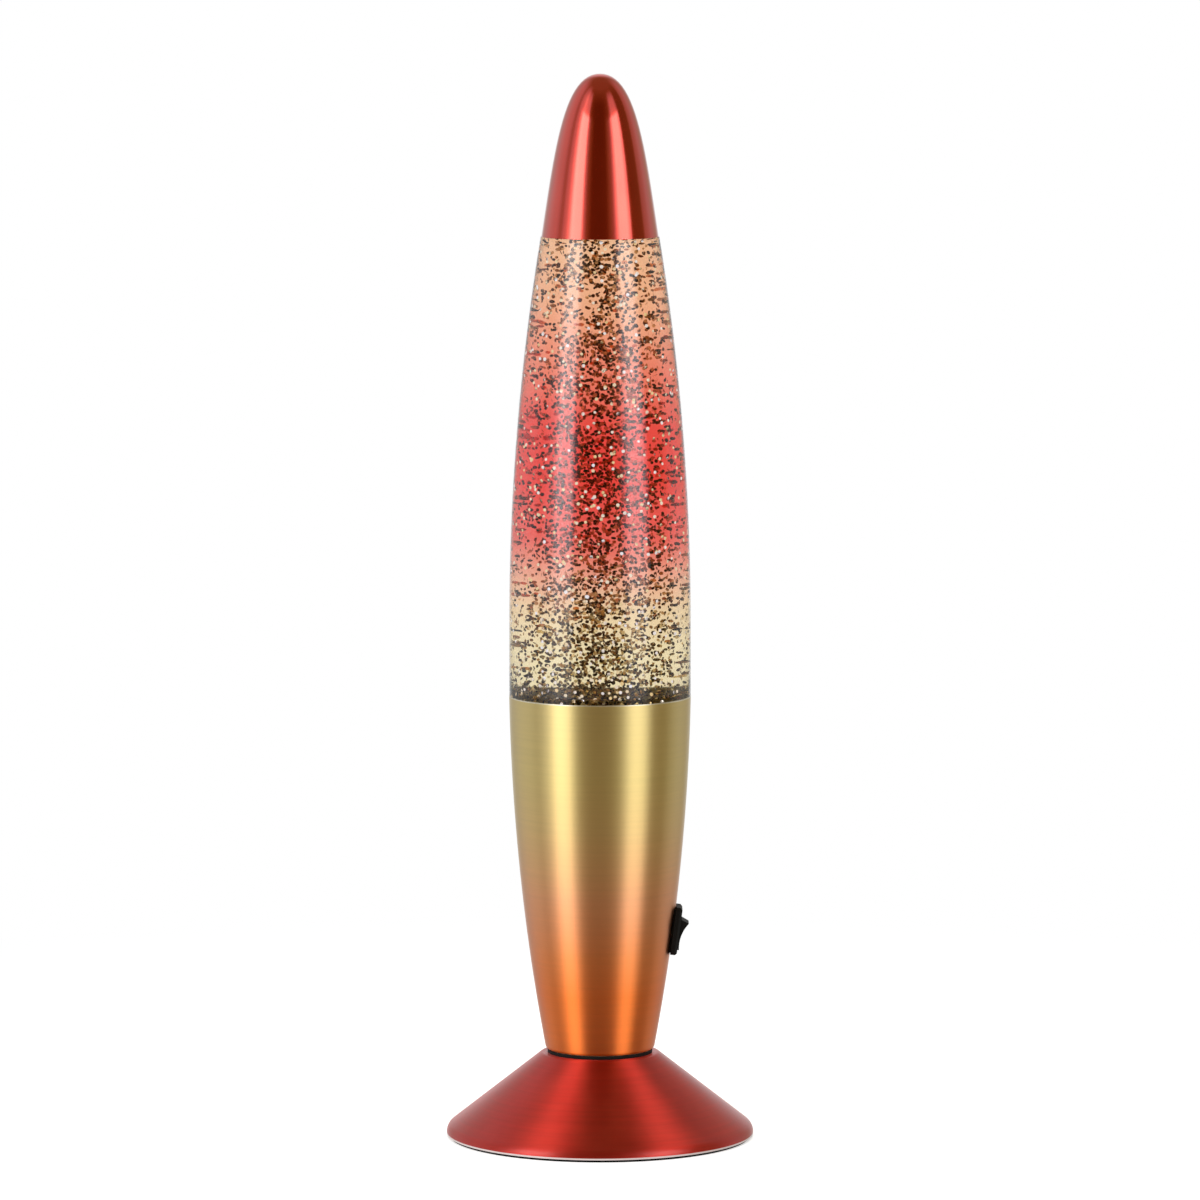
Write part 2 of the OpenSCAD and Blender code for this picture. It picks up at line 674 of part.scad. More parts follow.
module bulb_cap() {
    color([0.78, 0.78, 0.8]) translate([0, 0, screw_z]) difference() {
        cylinder(h = bulb_cap_h, d = screw_d);
        translate([0, 0, -bulb_cap_h]) cylinder(h = 3 * bulb_cap_h, r = screw_d / 2 - screw_wall);
    }
}

module bulb_insulator() {
    color([0.1, 0.1, 0.12]) translate([0, 0, bulb_z + button_h])
        cylinder(h = insulator_h, r1 = screw_d / 4, r2 = screw_d / 2 - screw_wall);
}

module bulb_contact() {
    color([0.7, 0.68, 0.66]) translate([0, 0, bulb_z])
        cylinder(h = button_h, r1 = screw_d / 6, r2 = screw_d / 5);
}

module bulb_stem() {
    flare_r = bulb_neck_r - bulb_wall - slip_gap;
    flare_t = 1.5;
    stem_r = 2.4;
    color([0.8, 0.84, 0.86]) turned([
        [0, bulb_neck_z], [flare_r, bulb_neck_z], [flare_r, bulb_neck_z + flare_t],
        [stem_r, bulb_neck_z + 2 * flare_t], [stem_r, stem_top_z], [0, stem_top_z]
    ]);
}

module bulb_filament() {
    filament_d = 0.6;
    rise = 15;
    half = [[1.2, 0], [1.6, 3], [4, rise - 2], [3, rise - 0.6]];
    legs = concat(half, [[0, rise]], [for (p = reversed(half)) [-p.x, p.y]]);
    color([0.55, 0.55, 0.56]) swept_tube([for (p = legs) [p.x, 0, stem_top_z + p.y]], filament_d, 6);
}

// Bottle: inside the sleeve it keeps the sleeve's own curve, and a ledge rests on the rim
bottle_z = bulb_top_z + bulb_air;
stand_r = nested_r(bottle_z) - 1.5 * heel_r;
heel_end_z = bottle_z + 1.5 * heel_r;
neck_r = neck_d / 2;
cap_lean = cap_flank_in / cap_flank_h;
spigot_r = cap_rim_d / 2 - cap_wall - lift_gap;
spigot_top_r = spigot_r - 2 * cap_lean * spigot_h;
ledge_run = 3;       // height over which the inside follows the step at the ledge
throat_r = 3;        // bend inside the shoulder
inside_z = bottle_z + glass_base_t;
inside_top_z = shoulder_z + spigot_h - shoulder_t;
inside_heel_z = inside_z + 1.5 * heel_r;

// Inner radius of the bottle at a height, and its line from the middle of the bottom to the neck
function hollow_r(z) = z < rim_z ? nested_r(z) - glass_wall : glass_r(z) - glass_wall;
function hollow_line(w, top_z) = let(
        low = [for (z = steps(inside_heel_z, rim_z - ledge_run, 6)) [hollow_r(z) - w, z]],
        high = [for (z = steps(bottle_belly_z, inside_top_z - 2 * throat_r)) [hollow_r(z) - w, z]],
        corner = [hollow_r(inside_top_z) - w, inside_top_z - w],
        neck = [neck_bore_r - w, inside_top_z - w])
    concat(
        [[0, inside_z + w]],
        rounded([0, inside_z + w], [hollow_r(inside_z) - w, inside_z + w], low[0], heel_r),
        low,
        [[hollow_r(rim_z + ledge_run) - w, rim_z + ledge_run]],
        high,
        rounded(high[len(high) - 1], corner, neck, throat_r),
        [neck, [neck_bore_r - w, top_z]]);

module bottle() {
    wall = [for (z = steps(heel_end_z, rim_z, 6)) [nested_r(z), z]];
    outside = concat(
        bezier([
            [0, bottle_z + punt_h], [stand_r / 2, bottle_z + punt_h],
            [stand_r * 0.8, bottle_z], [stand_r, bottle_z]], bend_steps),
        rounded([stand_r, bottle_z], [nested_r(bottle_z), bottle_z], wall[0], heel_r),
        wall,
        [[bottle_r, rim_z]],
        [for (z = steps(bottle_belly_z, shoulder_z)) [glass_r(z), z]],
        [[spigot_r, shoulder_z], [spigot_top_r, shoulder_z + spigot_h]],
        [[neck_r, shoulder_z + spigot_h], [neck_r, neck_top_z]]);
    color([0.93, 0.62, 0.45, 0.45]) turned(concat(outside, reversed(hollow_line(0, neck_top_z))));
}

// Glitter: thin six-sided flakes spread evenly through the liquid, each turned its own way
liquid_gap = 0.1;
liquid_top_z = neck_top_z - ullage_h;
flake_margin = flake_d + 1;
glitter_z = [inside_z + heel_r + flake_margin, inside_top_z - 2 * throat_r];
golden = (sqrt(5) - 1) / 2;
function part_of(x) = x - floor(x);
function flake_at(i) = let(
        z = glitter_z[0] + (glitter_z[1] - glitter_z[0]) * (i + 0.5) / flake_count,
        r = (min(hollow_r(z), hollow_r(z - ledge_run)) - flake_margin) * sqrt(part_of(i * sqrt(2))),
        a = 360 * golden * i)
    [r * cos(a), r * sin(a), z];

module flakes(grown = 0) {
    for (i = [0 : flake_count - 1])
        translate(flake_at(i)) rotate([360 * part_of(i * sqrt(3)), 360 * part_of(i * sqrt(7)), 0])
            cylinder(h = flake_t + 2 * grown, d = flake_d + 2 * grown, center = true, $fn = 6);
}

module liquid() {
    color([0.93, 0.45, 0.35, 0.6]) difference() {
        turned(concat(hollow_line(liquid_gap, liquid_top_z), [[0, liquid_top_z]]));
        flakes(run_gap);
    }
}

module glitter() {
    color([0.95, 0.8, 0.45]) flakes();
}

// Closure: a ribbed screw cap over the neck, with its liner
closure_r = neck_r + 2 * slip_gap + closure_wall;
closure_top_z = neck_top_z + liner_t + closure_wall;
rib_turn = 360 / closure_ribs;

module closure() {
    grip = [for (i = [0 : closure_ribs - 1], k = [0 : 3]) let(
            a = rib_turn * (i + k / 4),
            r = closure_r + (k == 1 || k == 2 ? rib_h : 0))
        [r * cos(a), r * sin(a)]];
    color([0.92, 0.92, 0.9]) translate([0, 0, closure_top_z - closure_h]) difference() {
        linear_extrude(closure_h) polygon(grip);
        translate([0, 0, -closure_wall]) cylinder(h = closure_h, r = neck_r + 2 * slip_gap);
    }
}

module closure_liner() {
    color([0.85, 0.85, 0.82]) translate([0, 0, neck_top_z]) cylinder(h = liner_t, r = neck_r - slip_gap);
}

// Top cap: a spun nose that stands on the bottle's shoulder round the spigot
function nose_line(w) = bezier([
    [cap_rim_d / 2 - w, shoulder_z],
    [cap_rim_d / 2 - cap_flank_in - w, shoulder_z + cap_flank_h],
    [cap_nose_w - w, nose_z - w],
    [0, nose_z - w]]);

module top_cap() {
    color([0.75, 0.15, 0.12]) turned(concat(nose_line(0), reversed(nose_line(cap_wall))));
}

foot();
foot_pad();
base_plate();
cord_grommet();
collar_gasket();
sleeve();
threaded_tube();
tube_nuts();
tube_washers();
lampholder_body();
lampholder_shell();
lampholder_contact();
lampholder_terminals();
switch_housing();
switch_terminals();
switch_rocker();
rocker_plunger();
plunger_spring();
contact_blade();
switch_lead();
bulb_envelope();
bulb_cap();
bulb_insulator();
bulb_contact();
bulb_stem();
bulb_filament();
bottle();
liquid();
glitter();
closure();
closure_liner();
top_cap();
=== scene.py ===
import math
import random

import bpy
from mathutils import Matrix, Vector, noise


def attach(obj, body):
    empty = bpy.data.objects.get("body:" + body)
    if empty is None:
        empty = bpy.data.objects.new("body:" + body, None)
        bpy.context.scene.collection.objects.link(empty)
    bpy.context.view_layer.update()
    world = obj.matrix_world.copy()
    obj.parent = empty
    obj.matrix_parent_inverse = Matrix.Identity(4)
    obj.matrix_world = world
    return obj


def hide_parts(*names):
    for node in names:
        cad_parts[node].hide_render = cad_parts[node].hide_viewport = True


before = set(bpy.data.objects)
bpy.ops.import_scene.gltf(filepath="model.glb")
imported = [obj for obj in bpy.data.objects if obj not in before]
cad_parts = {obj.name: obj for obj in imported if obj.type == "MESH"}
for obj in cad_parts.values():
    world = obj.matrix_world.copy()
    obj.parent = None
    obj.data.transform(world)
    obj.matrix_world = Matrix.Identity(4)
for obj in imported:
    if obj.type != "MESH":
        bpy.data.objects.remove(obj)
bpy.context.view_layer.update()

# Sizes of the lamp are in millimetres as in the part's source, and MM turns them to metres.
MM = 0.001

# Lines of the sleeve and the bottle, as in the part's source
RIM_Z = 138            # top of the sleeve, where the bottle comes out of it
NEST_GAP = 1.15        # sleeve's wall and the air between it and the bottle
GLASS_T = 2.4          # wall of the bottle
FILL_BOTTOM_Z = 116.5  # inside of the bottle's bottom
HEEL_R = 4             # bend inside the bottom
FILL_TOP_Z = 280.9     # inside of the bottle's shoulder, under the cap
THROAT_R = 3           # bend inside the shoulder
NECK_BORE_R = 7.5
WATER_TOP_Z = 290      # the filling's level in the neck
# Both outlines are arcs: the radius and the height where each stands upright, and the arc's own radius.
SLEEVE_UPRIGHT = (28.25, 150, 662.1)
BOTTLE_UPRIGHT = (28.1, 160, 739.6)


def arc_radius(z, radius, upright_z, arc):
    """Radius at a height on an arc that stands upright at one height."""
    return radius - arc + math.sqrt(arc ** 2 - (z - upright_z) ** 2)


def glass_radius(z):
    """Outside radius of the bottle at a height: straight at the belly, close inside the sleeve below it."""
    if z < RIM_Z:
        return arc_radius(z, *SLEEVE_UPRIGHT) - NEST_GAP
    return arc_radius(max(z, BOTTLE_UPRIGHT[1]), *BOTTLE_UPRIGHT)


def inside_radius(z):
    """Inside radius of the bottle at a height, with the bend under its shoulder."""
    over = max(0, z - FILL_TOP_Z + THROAT_R)
    return glass_radius(z) - GLASS_T - THROAT_R + math.sqrt(THROAT_R ** 2 - over ** 2)


def linear(code):
    """Linear RGBA of an sRGB hex colour."""
    channels = [int(code[i:i + 2], 16) / 255 for i in (1, 3, 5)]
    return [c / 12.92 if c <= 0.04045 else ((c + 0.055) / 1.055) ** 2.4 for c in channels] + [1]


def node(tree, kind, inputs=None, stops=None, **settings):
    """Adds a node, sets its properties, and sets or links its inputs. A ramp takes (place, colour) stops."""
    made = tree.nodes.new(kind if "Node" in kind else "ShaderNode" + kind)
    for name, value in settings.items():
        setattr(made, name, value)
    for name, value in (inputs or {}).items():
        if isinstance(value, bpy.types.NodeSocket):
            tree.links.new(value, made.inputs[name])
        else:
            made.inputs[name].default_value = value
    if stops:
        ramp = made.color_ramp.elements
        while len(ramp) < len(stops):
            ramp.new(1)
        for element, (place, colour) in zip(ramp, stops):
            element.position = place
            element.color = linear(colour) if isinstance(colour, str) else [colour] * 3 + [1]
    return made


def socket(shader, name):
    """Input of a shader by its name in small letters, such as base_color."""
    return shader.inputs[name.replace("_", " ").title().replace("Ior", "IOR")]


def material(name, **values):
    """A new material, its node tree and its shader, with the inputs set that are the same all over."""
    made = bpy.data.materials.new(name)
    made.use_nodes = True
    shader = made.node_tree.nodes["Principled BSDF"]
    for key, value in values.items():
        socket(shader, key).default_value = linear(value) if isinstance(value, str) else value
    return made, made.node_tree, shader


def feed(shader, **outputs):
    """Links the outputs of other nodes to a shader's inputs."""
    for key, output in outputs.items():
        shader.id_data.links.new(output, socket(shader, key))


def dress(made, *nodes):
    """Gives a material to CAD nodes."""
    for name in nodes:
        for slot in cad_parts[name].material_slots:
            slot.material = made


# Turned CAD nodes come in narrow rings. This lets reflections run from ring to ring, and keeps real corners.
SEAM = 0.002                # points of two rings that lie closer than this are one point
CORNER = math.radians(25)   # an edge sharper than this is a real corner
ring_smoother = bpy.data.node_groups.new("ring_smoother", "GeometryNodeTree")
for way in ("INPUT", "OUTPUT"):
    ring_smoother.interface.new_socket("Geometry", in_out=way, socket_type="NodeSocketGeometry")
rings = node(ring_smoother, "NodeGroupInput").outputs[0]
joined = node(ring_smoother, "GeometryNodeMergeByDistance",
              {"Geometry": rings, "Distance": SEAM * MM}).outputs[0]
bend = node(ring_smoother, "GeometryNodeInputMeshEdgeAngle").outputs["Unsigned Angle"]
corner = node(ring_smoother, "Math", {0: bend, 1: CORNER}, operation="GREATER_THAN").outputs[0]
smooth = node(ring_smoother, "GeometryNodeSetMeshNormal",
              {"Mesh": joined, "Remove Custom": True, "Edge Sharpness": corner, "Face Sharpness": False},
              mode="SHARPNESS").outputs[0]
node(ring_smoother, "NodeGroupOutput", {0: smooth})
for name in ("top_cap", "bottle", "sleeve", "foot"):
    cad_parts[name].modifiers.new("smoothed", "NODES").node_group = ring_smoother


# Camera: the photo's distance and height, looking a little down on the lamp. The studio is in metres.
CAMERA_PLACE = Vector((0, -2.0905, 0.3848))
CAMERA_AIM = Vector((0, 0, 0.1676))
CAMERA_LENS = 203.88   # mm, for the camera's own sensor of 36 mm
camera = bpy.data.objects.new("camera", bpy.data.cameras.new("camera"))
bpy.context.collection.objects.link(camera)
camera.location = CAMERA_PLACE
camera.rotation_euler = (CAMERA_AIM - CAMERA_PLACE).to_track_quat("-Z", "Y").to_euler()
camera.data.lens = CAMERA_LENS
bpy.context.scene.camera = camera

# Studio, as mirrors and glass see it. Angles are in degrees: round from the camera's side, positive to its
# right, and up from the horizon. Pairs give brightness, where 1 is white.
# Walls: dark beside the camera, pale at the sides and behind the lamp
WALLS = [(-180, 0.9), (-166, 0.8), (-156, 0.58), (-147, 0.54), (-123, 0.72), (-101, 0.73), (-96, 0.64),
         (-90, 0.5), (-85, 0.5), (-78, 0.85), (-62, 0.9), (-52, 0.35), (-42, 0.16), (0, 0.15), (22, 0.17),
         (97, 0.24), (103, 0.48), (123, 0.58), (147, 0.46), (156, 0.56), (166, 0.8), (180, 0.9)]
# Share of the walls by height, with the ceiling over them
WALL_SHARE = [(-90, 1), (42, 1), (66, 0), (90, 0)]
CEILING = 0.32
# Pale table, as surfaces that lean down see it
TABLE_SHARE = [(-90, 0.9), (-34, 0.8), (-20, 0.5), (-9, 0), (90, 0)]
TABLE = 0.64
# Two tall softboxes, with a dim glow over them and a faint image of them in the table
SOFTBOXES = [(-180, 0), (-75, 0), (-67, 0.2), (-59, 1), (-40, 1), (-36, 0.2), (-29, 0.05), (-18, 0),
             (14, 0), (29, 0.08), (35, 0.35), (41, 0.88), (58, 0.88), (66, 0.35), (69, 0), (180, 0)]
SOFTBOX_SHARE = [(-90, 0.22), (-7, 0.22), (2, 1), (30.5, 1), (32.5, 0.24), (44, 0.2), (58, 0), (90, 0)]
SOFTBOX_LIGHT = 3.75
# The darker a part of the room is, the warmer it is.
WARMTH = [(0.15, "#FFBC60"), (0.27, "#FFE490"), (0.6, "#FFFFFF")]
# Light from all round on what isn't shiny
AMBIENT = 0.5

scene = bpy.context.scene
scene.view_settings.view_transform = "Standard"
scene.cycles.max_bounces = 24
scene.cycles.transmission_bounces = 24
scene.cycles.glossy_bounces = 8

world = bpy.data.worlds.new("studio")
scene.world = world
world.use_nodes = True
world.cycles.sampling_method = "NONE"
tree = world.node_tree
towards = node(tree, "SeparateXYZ", {0: node(tree, "TexCoord").outputs["Generated"]}).outputs
front = node(tree, "Math", {0: towards["Y"], 1: -1}, operation="MULTIPLY").outputs[0]
around = node(tree, "Math", {0: towards["X"], 1: front}, operation="ARCTAN2").outputs[0]
around = node(tree, "MapRange", {0: around, 1: -math.pi, 2: math.pi}).outputs[0]
up = node(tree, "Math", {0: towards["Z"]}, operation="ARCSINE").outputs[0]
up = node(tree, "MapRange", {0: up, 1: -math.pi / 2, 2: math.pi / 2}).outputs[0]
walls, softboxes = [node(tree, "ValToRGB", {0: around}, [((a + 180) / 360, b) for a, b in stops]).outputs[0]
                    for stops in (WALLS, SOFTBOXES)]
wall_share, table_share, softbox_share = [
    node(tree, "ValToRGB", {0: up}, [((a + 90) / 180, b) for a, b in stops]).outputs[0]
    for stops in (WALL_SHARE, TABLE_SHARE, SOFTBOX_SHARE)]
room = node(tree, "Mix", {"Factor": wall_share, "A": CEILING, "B": walls}).outputs[0]
room = node(tree, "Mix", {"Factor": table_share, "A": room, "B": TABLE}).outputs[0]
glow = node(tree, "Math", {0: softboxes, 1: softbox_share}, operation="MULTIPLY").outputs[0]
room = node(tree, "Math", {0: glow, 1: SOFTBOX_LIGHT, 2: room}, operation="MULTIPLY_ADD").outputs[0]
# The camera sees white, and so does what passes through the filling. What mirrors in the glass sees the room.
FILLING_DEPTH = 5.5   # a path that leaves the filling has crossed more surfaces than this
MIRROR_DEPTH = 0.5    # a path that has met a mirror counts more than this
rays = node(tree, "LightPath").outputs
straight = node(tree, "Math", {0: rays["Glossy Depth"], 1: MIRROR_DEPTH}, operation="LESS_THAN").outputs[0]
through = node(tree, "Math", {0: rays["Transmission Depth"], 1: FILLING_DEPTH},
               operation="GREATER_THAN").outputs[0]
passed = node(tree, "Math", {0: straight, 1: through}, operation="MAXIMUM").outputs[0]
passed = node(tree, "Math", {0: rays["Is Transmission Ray"], 1: passed}, operation="MULTIPLY").outputs[0]
white = node(tree, "Math", {0: passed, 1: rays["Is Camera Ray"]}, operation="MAXIMUM").outputs[0]
light = node(tree, "Mix", {"Factor": rays["Is Glossy Ray"], "A": AMBIENT, "B": room}).outputs[0]
light = node(tree, "Mix", {"Factor": white, "A": light, "B": 1}).outputs[0]
feed(tree.nodes["Background"], strength=light, color=node(tree, "ValToRGB", {0: light}, WARMTH).outputs[0])

# Soft lamps for what isn't shiny: one overhead and one at the front left. Mirrors see the softboxes only.
LAMPS = [("overhead", Vector((0, 0.1, 1.5)), 1.4, 13), ("front", Vector((-0.8, -1.2, 0.9)), 1, 10)]
LAMPS_AIM = Vector((0, 0, 0.12))
for name, place, size, power in LAMPS:
    lamp = bpy.data.objects.new(name, bpy.data.lights.new(name, "AREA"))
    lamp.data.size = size
    lamp.data.energy = power
    lamp.location = place
    lamp.rotation_euler = (LAMPS_AIM - place).to_track_quat("-Z", "Y").to_euler()
    lamp.visible_camera = lamp.visible_glossy = lamp.visible_transmission = False
    bpy.context.collection.objects.link(lamp)

# Floor: white paper that keeps the lamp's shadow and runs out into the white background.
PAPER_REACH = 3
PAPER_FADE = (0.12, 0.45)   # distances from the lamp's axis between which the paper turns plain white
PAPER_GLOW = 0.55           # what the camera alone sees added to the paper
paper, tree, shader = material("white_paper", base_color="#DCDCDC", roughness=0.9, specular_ior_level=0.1)
place = node(tree, "TexCoord").outputs["Object"]
far = node(tree, "VectorMath", {0: place}, operation="LENGTH").outputs["Value"]
fade = node(tree, "MapRange", {0: far, 1: PAPER_FADE[0], 2: PAPER_FADE[1]}, interpolation_type="SMOOTHSTEP")
by_camera = node(tree, "LightPath").outputs["Is Camera Ray"]
fade = node(tree, "Math", {0: fade.outputs[0], 1: by_camera}, operation="MULTIPLY").outputs[0]
glow = node(tree, "Emission", {"Color": linear("#FFFFFF"), "Strength": PAPER_GLOW}).outputs[0]
lit = node(tree, "AddShader", {0: shader.outputs[0], 1: glow}).outputs[0]
seen = node(tree, "MixShader", {0: by_camera, 1: shader.outputs[0], 2: lit}).outputs[0]
white = node(tree, "Emission", {"Color": linear("#FFFFFF")}).outputs[0]
feed(tree.nodes["Material Output"], surface=node(tree, "MixShader", {0: fade, 1: seen, 2: white}).outputs[0])
sheet = bpy.data.meshes.new("floor")
sheet.from_pydata([(x * PAPER_REACH, y * PAPER_REACH, 0) for x, y in ((-1, -1), (1, -1), (1, 1), (-1, 1))],
                  [], [(0, 1, 2, 3)])
sheet.materials.append(paper)
floor = bpy.data.objects.new("floor", sheet)
bpy.context.collection.objects.link(floor)
floor.visible_glossy = floor.visible_transmission = False


def dye_by_height(tree, stops, cloud, wander):
    """Colour of a dye by (height, colour) stops, whose borders wander up and down in soft clouds."""
    place = node(tree, "TexCoord").outputs["Object"]
    clouds = node(tree, "TexNoise", {"Vector": place, "Scale": 1 / (cloud * MM), "Detail": 3}).outputs["Fac"]
    drift = node(tree, "MapRange", {0: clouds, 3: -wander * MM, 4: wander * MM}).outputs[0]
    up = node(tree, "SeparateXYZ", {0: place}).outputs["Z"]
    up = node(tree, "Math", {0: up, 1: drift}, operation="ADD").outputs[0]
    low, high = stops[0][0], stops[-1][0]
    up = node(tree, "MapRange", {0: up, 1: low * MM, 2: high * MM}).outputs[0]
    shares = [((z - low) / (high - low), colour) for z, colour in stops]
    return node(tree, "ValToRGB", {0: up}, shares).outputs[0]


# Red anodised aluminium, spun and polished: deep clear colour, mirror reflections, faint rings of the lathe.
# The dye is clouded over 9 mm. The rings are drawn 0.7 mm apart, coarser than they are, to show.
made, tree, shader = material("red_anodised_polished", metallic=1, coat_weight=0.8, coat_ior=1.7,
                              coat_roughness=0.06)
place = node(tree, "TexCoord").outputs["Object"]
tall = node(tree, "Mapping", {"Vector": place, "Scale": (1, 1, 0.6)}).outputs["Vector"]
cloud = node(tree, "TexNoise", {"Vector": tall, "Scale": 1 / (9 * MM), "Detail": 3}).outputs["Fac"]
tone = node(tree, "ValToRGB", {0: cloud}, [(0.3, "#CE3422"), (0.7, "#D63C29")]).outputs[0]
around = node(tree, "Mapping", {"Vector": place, "Scale": (0.004, 0.004, 1)}).outputs["Vector"]
rings = node(tree, "TexNoise", {"Vector": around, "Scale": 1 / (0.7 * MM), "Detail": 3}).outputs["Fac"]
feed(shader, base_color=tone, roughness=node(tree, "MapRange", {0: rings, 3: 0.1, 4: 0.16}).outputs[0])
dress(made, "top_cap")

# Red anodised aluminium, spun and brushed round the axis: satin, light is drawn out across the brush lines.
# The dye is clouded over 14 mm. The lip's lower edge is a painted highlight: a pale line of dull, unmetallic
# colour that stands in for the floor's reflection in the lip.
BRUSHING = 0.9          # brush lines, drawn some ten times as coarse as they are, to show
LIP_HIGHLIGHT = (1.25, 1.4)  # heights between which the dye starts
made, tree, shader = material("red_anodised_brushed", anisotropic=0.92, anisotropic_rotation=0.233,
                              coat_weight=0.5, coat_roughness=0.2)
place = node(tree, "TexCoord").outputs["Object"]
tall = node(tree, "Mapping", {"Vector": place, "Scale": (1, 1, 0.6)}).outputs["Vector"]
cloud = node(tree, "TexNoise", {"Vector": tall, "Scale": 1 / (14 * MM), "Detail": 3}).outputs["Fac"]
tone = node(tree, "ValToRGB", {0: cloud}, [(0.3, "#DC3C33"), (0.7, "#E6463C")]).outputs[0]
around = node(tree, "Mapping", {"Vector": place, "Scale": (0.03, 0.03, 1)}).outputs["Vector"]
rings = node(tree, "TexNoise", {"Vector": around, "Scale": 1 / (BRUSHING * MM), "Detail": 3}).outputs["Fac"]
lines = node(tree, "ValToRGB", {0: rings}, [(0.25, 0.86), (0.75, 1)]).outputs[0]
tone = node(tree, "Mix", {0: 1, 6: tone, 7: lines}, data_type="RGBA", blend_type="MULTIPLY").outputs[2]
up = node(tree, "SeparateXYZ", {0: place}).outputs["Z"]
# Below these heights the lip is a painted highlight: pale, dull colour for the floor's reflection
dyed = node(tree, "MapRange", {0: up, 1: LIP_HIGHLIGHT[0] * MM, 2: LIP_HIGHLIGHT[1] * MM}).outputs[0]
tone = node(tree, "Mix", {0: dyed, 6: linear("#EDE0E4"), 7: tone}, data_type="RGBA").outputs[2]
bump = node(tree, "Bump", {"Height": rings, "Strength": 0.06, "Distance": 0.1 * MM}).outputs[0]
round_axis = node(tree, "Tangent", axis="Z").outputs[0]
feed(shader, base_color=tone, metallic=dyed, normal=bump, tangent=round_axis,
     roughness=node(tree, "MapRange", {0: rings, 3: 0.52, 4: 0.6}).outputs[0])
dress(made, "foot")

# Anodised aluminium, brushed round the axis and dyed from copper at the bottom to gold at the rim. Inside it
# is painted pale and dull, painted light that lifts the shade in its hollow; the cut rim is a pale line of
# bare metal.
SLEEVE_DYE = [(27, "#F27F32"), (46, "#F27F32"), (58, "#F08F4E"), (67, "#EC9A64"), (77, "#EAA674"),
              (86, "#E6B37A"), (99, "#E1C080"), (115, "#DFC782"), (138, "#DFC987")]
RIM_EDGE = (137.6, 137.75)   # heights between which the dye ends
OUTSIDE = 8                  # an outer face's normal, times the way out from the axis, is more than this
made, tree, shader = material("brushed_anodised_ombre", anisotropic=0.92, anisotropic_rotation=0.25,
                              coat_weight=0.25, coat_ior=1.7, coat_roughness=0.3)
surface = node(tree, "NewGeometry").outputs
way_out = node(tree, "VectorMath", {0: surface["Position"], 1: (1, 1, 0)}, operation="MULTIPLY").outputs[0]
outward = node(tree, "VectorMath", {0: surface["Normal"], 1: way_out},
               operation="DOT_PRODUCT").outputs["Value"]
outside = node(tree, "Math", {0: outward, 1: OUTSIDE * MM}, operation="GREATER_THAN").outputs[0]
place = node(tree, "TexCoord").outputs["Object"]
around = node(tree, "Mapping", {"Vector": place, "Scale": (0.03, 0.03, 1)}).outputs["Vector"]
rings = node(tree, "TexNoise", {"Vector": around, "Scale": 1 / (BRUSHING * MM), "Detail": 3}).outputs["Fac"]
lines = node(tree, "ValToRGB", {0: rings}, [(0.25, 0.93), (0.75, 1)]).outputs[0]
dye = dye_by_height(tree, SLEEVE_DYE, cloud=22, wander=3)
dye = node(tree, "Mix", {0: 1, 6: dye, 7: lines}, data_type="RGBA", blend_type="MULTIPLY").outputs[2]
# Inner faces get a pale, dull colour: painted light that lifts the shade inside the sleeve
dye = node(tree, "Mix", {0: outside, 6: linear("#FFF0C0"), 7: dye}, data_type="RGBA").outputs[2]
up = node(tree, "SeparateXYZ", {0: place}).outputs["Z"]
bare = node(tree, "MapRange", {0: up, 1: RIM_EDGE[0] * MM, 2: RIM_EDGE[1] * MM}).outputs[0]
dye = node(tree, "Mix", {0: bare, 6: dye, 7: linear("#EFE6CC")}, data_type="RGBA").outputs[2]
bump = node(tree, "Bump", {"Height": rings, "Strength": 0.035, "Distance": 0.1 * MM}).outputs[0]
round_axis = node(tree, "Tangent", axis="Z").outputs[0]
feed(shader, base_color=dye, metallic=outside, normal=bump, tangent=round_axis,
     roughness=node(tree, "MapRange", {0: rings, 3: 0.4, 4: 0.47}).outputs[0])
dress(made, "sleeve")

# Flint glass, blown in a mould: clear, with the slow waves of the mould, 26 mm long, in its reflections.
made, tree, shader = material("flint_glass", transmission_weight=1, ior=1.5, roughness=0,
                              base_color="#FBF9FC", specular_tint="#E4E4E4")
place = node(tree, "TexCoord").outputs["Object"]
tall = node(tree, "Mapping", {"Vector": place, "Scale": (1, 1, 0.5)}).outputs["Vector"]
waves = node(tree, "TexNoise", {"Vector": tall, "Scale": 1 / (26 * MM), "Detail": 1}).outputs["Fac"]
feed(shader, normal=node(tree, "Bump", {"Height": waves, "Strength": 0.1, "Distance": 0.3 * MM}).outputs[0])
dress(made, "bottle")


def turned(name, profile, segments=96):
    """A body of revolution from (radius, height) points in mm that start and end on the axis."""
    verts, faces, rows = [], [], []
    for radius, z in profile:
        steps = segments if radius else 1
        rows.append(range(len(verts), len(verts) + steps))
        for i in range(steps):
            angle = 2 * math.pi * i / segments
            verts.append((radius * math.cos(angle) * MM, radius * math.sin(angle) * MM, z * MM))
    for low, high in zip(rows, rows[1:]):
        for i in range(segments):
            ring = [low[i % len(low)], low[(i + 1) % len(low)],
                    high[(i + 1) % len(high)], high[i % len(high)]]
            faces.append(list(dict.fromkeys(ring)))
    mesh = bpy.data.meshes.new(name)
    mesh.from_pydata(verts, [], faces)
    mesh.shade_smooth()
    made = bpy.data.objects.new(name, mesh)
    bpy.context.collection.objects.link(made)
    return made


